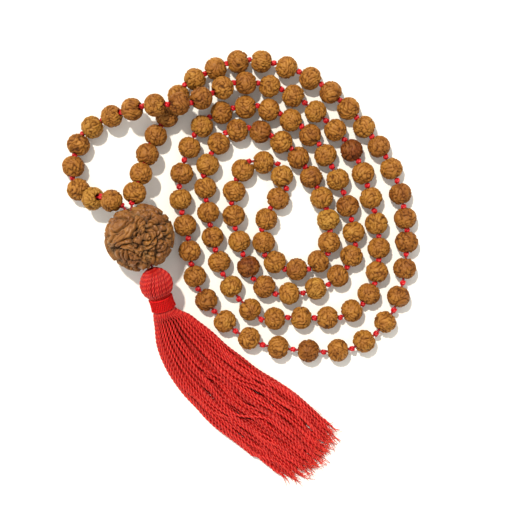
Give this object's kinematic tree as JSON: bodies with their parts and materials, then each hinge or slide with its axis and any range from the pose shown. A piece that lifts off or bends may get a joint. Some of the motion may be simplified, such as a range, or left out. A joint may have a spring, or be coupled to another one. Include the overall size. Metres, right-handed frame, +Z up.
{
  "type": "mala prayer beads",
  "caption": "String of small ridged seed beads knotted apart on a red cord, with a large gnarled guru bead and a red tassel, laid in loose loops.",
  "frame": {"origin": "on the table, below the middle of the whole object's box", "axes": "+Z up from the table, +Y towards the top of the loops, +X away from the guru bead and the tassel"},
  "size_m": [0.1186, 0.144, 0.0232],
  "materials": {
    "bead_seed": "dry ridged seed with a slight oil sheen",
    "guru_seed": "deeply pitted seed, polished on its high ridges",
    "cord": "twisted waxed cotton",
    "knot_cord": "tight glossy knots of the same cord",
    "tassel_thread": "loosely twisted silky thread",
    "binding_thread": "fine thread wound in close turns"
  },
  "bodies": {
    "root": {"cord": "cord", "knots": "knot_cord", "end_knot": "knot_cord", "strand_beads": "bead_seed"},
    "guru": {"guru_bead": "guru_seed"},
    "tassel": {"tassel_head": "tassel_thread", "tassel_binding": "binding_thread"},
    "skirt": {"tassel_skirt": "tassel_thread"},
    "bead_2": {"bead_2": "bead_seed"},
    "bead_4": {"bead_4": "bead_seed"},
    "bead_6": {"bead_6": "bead_seed"},
    "bead_8": {"bead_8": "bead_seed"},
    "bead_10": {"bead_10": "bead_seed"},
    "bead_12": {"bead_12": "bead_seed"},
    "bead_14": {"bead_14": "bead_seed"},
    "bead_16": {"bead_16": "bead_seed"},
    "bead_18": {"bead_18": "bead_seed"},
    "bead_20": {"bead_20": "bead_seed"},
    "bead_22": {"bead_22": "bead_seed"},
    "bead_24": {"bead_24": "bead_seed"},
    "bead_26": {"bead_26": "bead_seed"},
    "bead_28": {"bead_28": "bead_seed"},
    "bead_30": {"bead_30": "bead_seed"},
    "bead_32": {"bead_32": "bead_seed"},
    "bead_34": {"bead_34": "bead_seed"},
    "bead_36": {"bead_36": "bead_seed"},
    "bead_38": {"bead_38": "bead_seed"},
    "bead_40": {"bead_40": "bead_seed"},
    "bead_42": {"bead_42": "bead_seed"},
    "bead_44": {"bead_44": "bead_seed"},
    "bead_46": {"bead_46": "bead_seed"},
    "bead_48": {"bead_48": "bead_seed"},
    "bead_50": {"bead_50": "bead_seed"},
    "bead_52": {"bead_52": "bead_seed"},
    "bead_54": {"bead_54": "bead_seed"},
    "bead_56": {"bead_56": "bead_seed"},
    "bead_58": {"bead_58": "bead_seed"},
    "bead_60": {"bead_60": "bead_seed"},
    "bead_62": {"bead_62": "bead_seed"},
    "bead_64": {"bead_64": "bead_seed"},
    "bead_66": {"bead_66": "bead_seed"},
    "bead_68": {"bead_68": "bead_seed"},
    "bead_70": {"bead_70": "bead_seed"},
    "bead_72": {"bead_72": "bead_seed"},
    "bead_74": {"bead_74": "bead_seed"},
    "bead_76": {"bead_76": "bead_seed"},
    "bead_78": {"bead_78": "bead_seed"},
    "bead_80": {"bead_80": "bead_seed"},
    "bead_82": {"bead_82": "bead_seed"},
    "bead_84": {"bead_84": "bead_seed"},
    "bead_86": {"bead_86": "bead_seed"},
    "bead_88": {"bead_88": "bead_seed"},
    "bead_90": {"bead_90": "bead_seed"},
    "bead_92": {"bead_92": "bead_seed"},
    "bead_94": {"bead_94": "bead_seed"},
    "bead_96": {"bead_96": "bead_seed"},
    "bead_98": {"bead_98": "bead_seed"},
    "bead_100": {"bead_100": "bead_seed"}
  },
  "joints": [
    {"name": "guru_spin", "type": "hinge", "parent": "root", "child": "guru", "pos_m": [-0.0326, 0.0093, 0.0116], "axis": [-0.342, 0.9397, 0], "continuous": true},
    {"name": "tassel_swing", "type": "hinge", "parent": "root", "child": "tassel", "pos_m": [-0.02704, -0.00597, 0.0116], "axis": [0, 0, -1], "range_deg": [0, 60]},
    {"name": "skirt_lift", "type": "hinge", "parent": "tassel", "child": "skirt", "pos_m": [-0.0245, -0.01482, 0.00825], "axis": [-0.788, -0.6157, 0], "range_deg": [0, 45]},
    {"name": "bead_2_spin", "type": "hinge", "parent": "root", "child": "bead_2", "pos_m": [-0.03238, 0.03056, 0.0081], "axis": [0.2542, 0.9103, -0.3266], "continuous": true},
    {"name": "bead_4_spin", "type": "hinge", "parent": "root", "child": "bead_4", "pos_m": [-0.0277, 0.0435, 0.00428], "axis": [0.4643, 0.874, -0.1434], "continuous": true},
    {"name": "bead_6_spin", "type": "hinge", "parent": "root", "child": "bead_6", "pos_m": [-0.0201, 0.0567, 0.00375], "axis": [0.4856, 0.8742, 0], "continuous": true},
    {"name": "bead_8_spin", "type": "hinge", "parent": "root", "child": "bead_8", "pos_m": [-0.00776, 0.06585, 0.00375], "axis": [0.9142, 0.4053, 0], "continuous": true},
    {"name": "bead_10_spin", "type": "hinge", "parent": "root", "child": "bead_10", "pos_m": [0.00749, 0.06824, 0.00375], "axis": [0.9909, -0.1347, 0], "continuous": true},
    {"name": "bead_12_spin", "type": "hinge", "parent": "root", "child": "bead_12", "pos_m": [0.02377, 0.06261, 0.00375], "axis": [0.8707, -0.4918, 0], "continuous": true},
    {"name": "bead_14_spin", "type": "hinge", "parent": "root", "child": "bead_14", "pos_m": [0.03645, 0.05251, 0.00375], "axis": [0.6892, -0.7246, 0], "continuous": true},
    {"name": "bead_16_spin", "type": "hinge", "parent": "root", "child": "bead_16", "pos_m": [0.04665, 0.03985, 0.00375], "axis": [0.5748, -0.8183, 0], "continuous": true},
    {"name": "bead_18_spin", "type": "hinge", "parent": "root", "child": "bead_18", "pos_m": [0.05378, 0.02414, 0.00375], "axis": [0.249, -0.9685, 0], "continuous": true},
    {"name": "bead_20_spin", "type": "hinge", "parent": "root", "child": "bead_20", "pos_m": [0.05589, 0.00802, 0.00375], "axis": [-0.0218, -0.9998, 0], "continuous": true},
    {"name": "bead_22_spin", "type": "hinge", "parent": "root", "child": "bead_22", "pos_m": [0.05319, -0.01019, 0.00375], "axis": [-0.3079, -0.9514, 0], "continuous": true},
    {"name": "bead_24_spin", "type": "hinge", "parent": "root", "child": "bead_24", "pos_m": [0.04173, -0.0251, 0.00375], "axis": [-0.8495, -0.5276, 0], "continuous": true},
    {"name": "bead_26_spin", "type": "hinge", "parent": "root", "child": "bead_26", "pos_m": [0.02312, -0.02826, 0.00375], "axis": [-0.9972, 0.0751, 0], "continuous": true},
    {"name": "bead_28_spin", "type": "hinge", "parent": "root", "child": "bead_28", "pos_m": [0.00335, -0.0241, 0.00375], "axis": [-0.8925, 0.4511, 0], "continuous": true},
    {"name": "bead_30_spin", "type": "hinge", "parent": "root", "child": "bead_30", "pos_m": [-0.0109, -0.01134, 0.00375], "axis": [-0.5852, 0.8109, 0], "continuous": true},
    {"name": "bead_32_spin", "type": "hinge", "parent": "root", "child": "bead_32", "pos_m": [-0.01644, 0.00498, 0.00375], "axis": [-0.1277, 0.9918, 0], "continuous": true},
    {"name": "bead_34_spin", "type": "hinge", "parent": "root", "child": "bead_34", "pos_m": [-0.01952, 0.02219, 0.00375], "axis": [-0.1117, 0.9937, 0], "continuous": true},
    {"name": "bead_36_spin", "type": "hinge", "parent": "root", "child": "bead_36", "pos_m": [-0.01653, 0.03951, 0.00375], "axis": [0.3636, 0.9316, 0], "continuous": true},
    {"name": "bead_38_spin", "type": "hinge", "parent": "root", "child": "bead_38", "pos_m": [-0.00583, 0.05118, 0.00375], "axis": [0.9294, 0.3692, 0], "continuous": true},
    {"name": "bead_40_spin", "type": "hinge", "parent": "root", "child": "bead_40", "pos_m": [0.00994, 0.05209, 0.00375], "axis": [0.9441, -0.3296, 0], "continuous": true},
    {"name": "bead_42_spin", "type": "hinge", "parent": "root", "child": "bead_42", "pos_m": [0.02373, 0.04362, 0.00375], "axis": [0.7016, -0.7125, 0], "continuous": true},
    {"name": "bead_44_spin", "type": "hinge", "parent": "root", "child": "bead_44", "pos_m": [0.03293, 0.02884, 0.00375], "axis": [0.3976, -0.9176, 0], "continuous": true},
    {"name": "bead_46_spin", "type": "hinge", "parent": "root", "child": "bead_46", "pos_m": [0.03823, 0.0113, 0.00375], "axis": [0.1583, -0.9874, 0], "continuous": true},
    {"name": "bead_48_spin", "type": "hinge", "parent": "root", "child": "bead_48", "pos_m": [0.03298, -0.00326, 0.00375], "axis": [-0.7457, -0.6663, 0], "continuous": true},
    {"name": "bead_50_spin", "type": "hinge", "parent": "root", "child": "bead_50", "pos_m": [0.01673, -0.00917, 0.00375], "axis": [-0.9987, -0.0506, 0], "continuous": true},
    {"name": "bead_52_spin", "type": "hinge", "parent": "root", "child": "bead_52", "pos_m": [0.00309, -0.0002, 0.00375], "axis": [-0.3845, 0.9231, 0], "continuous": true},
    {"name": "bead_54_spin", "type": "hinge", "parent": "root", "child": "bead_54", "pos_m": [-0.0018, 0.01682, 0.00375], "axis": [-0.1414, 0.99, 0], "continuous": true},
    {"name": "bead_56_spin", "type": "hinge", "parent": "root", "child": "bead_56", "pos_m": [0.0012, 0.03194, 0.00375], "axis": [0.5662, 0.8243, 0], "continuous": true},
    {"name": "bead_58_spin", "type": "hinge", "parent": "root", "child": "bead_58", "pos_m": [0.01435, 0.03, 0.00375], "axis": [0.3128, -0.9498, 0], "continuous": true},
    {"name": "bead_60_spin", "type": "hinge", "parent": "root", "child": "bead_60", "pos_m": [0.0091, 0.0157, 0.00375], "axis": [-0.3714, -0.9285, 0], "continuous": true},
    {"name": "bead_62_spin", "type": "hinge", "parent": "root", "child": "bead_62", "pos_m": [0.01195, 0.00135, 0.00375], "axis": [0.8104, -0.5859, 0], "continuous": true},
    {"name": "bead_64_spin", "type": "hinge", "parent": "root", "child": "bead_64", "pos_m": [0.02645, 0.00155, 0.00375], "axis": [0.775, 0.6319, 0], "continuous": true},
    {"name": "bead_66_spin", "type": "hinge", "parent": "root", "child": "bead_66", "pos_m": [0.02972, 0.01542, 0.00375], "axis": [-0.1883, 0.9821, 0], "continuous": true},
    {"name": "bead_68_spin", "type": "hinge", "parent": "root", "child": "bead_68", "pos_m": [0.02409, 0.02968, 0.00375], "axis": [-0.4952, 0.8688, 0], "continuous": true},
    {"name": "bead_70_spin", "type": "hinge", "parent": "root", "child": "bead_70", "pos_m": [0.01414, 0.0413, 0.00375], "axis": [-0.8286, 0.5598, 0], "continuous": true},
    {"name": "bead_72_spin", "type": "hinge", "parent": "root", "child": "bead_72", "pos_m": [-0.00055, 0.04525, 0.00375], "axis": [-0.9765, -0.2156, 0], "continuous": true},
    {"name": "bead_74_spin", "type": "hinge", "parent": "root", "child": "bead_74", "pos_m": [-0.01045, 0.03375, 0.00375], "axis": [-0.324, -0.9461, 0], "continuous": true},
    {"name": "bead_76_spin", "type": "hinge", "parent": "root", "child": "bead_76", "pos_m": [-0.01028, 0.01787, 0.00375], "axis": [0.139, -0.9903, 0], "continuous": true},
    {"name": "bead_78_spin", "type": "hinge", "parent": "root", "child": "bead_78", "pos_m": [-0.00662, 0.00145, 0.00375], "axis": [0.31, -0.9507, 0], "continuous": true},
    {"name": "bead_80_spin", "type": "hinge", "parent": "root", "child": "bead_80", "pos_m": [0.00372, -0.01447, 0.00375], "axis": [0.7313, -0.682, 0], "continuous": true},
    {"name": "bead_82_spin", "type": "hinge", "parent": "root", "child": "bead_82", "pos_m": [0.02073, -0.01725, 0.00375], "axis": [0.9994, -0.0338, 0], "continuous": true},
    {"name": "bead_84_spin", "type": "hinge", "parent": "root", "child": "bead_84", "pos_m": [0.0376, -0.0149, 0.00375], "axis": [0.8654, 0.501, 0], "continuous": true},
    {"name": "bead_86_spin", "type": "hinge", "parent": "root", "child": "bead_86", "pos_m": [0.04598, -0.00192, 0.00375], "axis": [0.1726, 0.985, 0], "continuous": true},
    {"name": "bead_88_spin", "type": "hinge", "parent": "root", "child": "bead_88", "pos_m": [0.04586, 0.0142, 0.00375], "axis": [-0.1729, 0.9849, 0], "continuous": true},
    {"name": "bead_90_spin", "type": "hinge", "parent": "root", "child": "bead_90", "pos_m": [0.04134, 0.03095, 0.00375], "axis": [-0.3552, 0.9348, 0], "continuous": true},
    {"name": "bead_92_spin", "type": "hinge", "parent": "root", "child": "bead_92", "pos_m": [0.03214, 0.04534, 0.00375], "axis": [-0.6927, 0.7212, 0], "continuous": true},
    {"name": "bead_94_spin", "type": "hinge", "parent": "root", "child": "bead_94", "pos_m": [0.01809, 0.05674, 0.00375], "axis": [-0.8643, 0.503, 0], "continuous": true},
    {"name": "bead_96_spin", "type": "hinge", "parent": "root", "child": "bead_96", "pos_m": [0.00228, 0.06089, 0.00494], "axis": [-0.9902, 0.0031, 0.1393], "continuous": true},
    {"name": "bead_98_spin", "type": "hinge", "parent": "root", "child": "bead_98", "pos_m": [-0.0124, 0.05535, 0.0093], "axis": [-0.8327, -0.4531, 0.3184], "continuous": true},
    {"name": "bead_100_spin", "type": "hinge", "parent": "root", "child": "bead_100", "pos_m": [-0.0275, 0.05285, 0.01115], "axis": [-0.9865, -0.0587, -0.1527], "continuous": true}
  ]
}
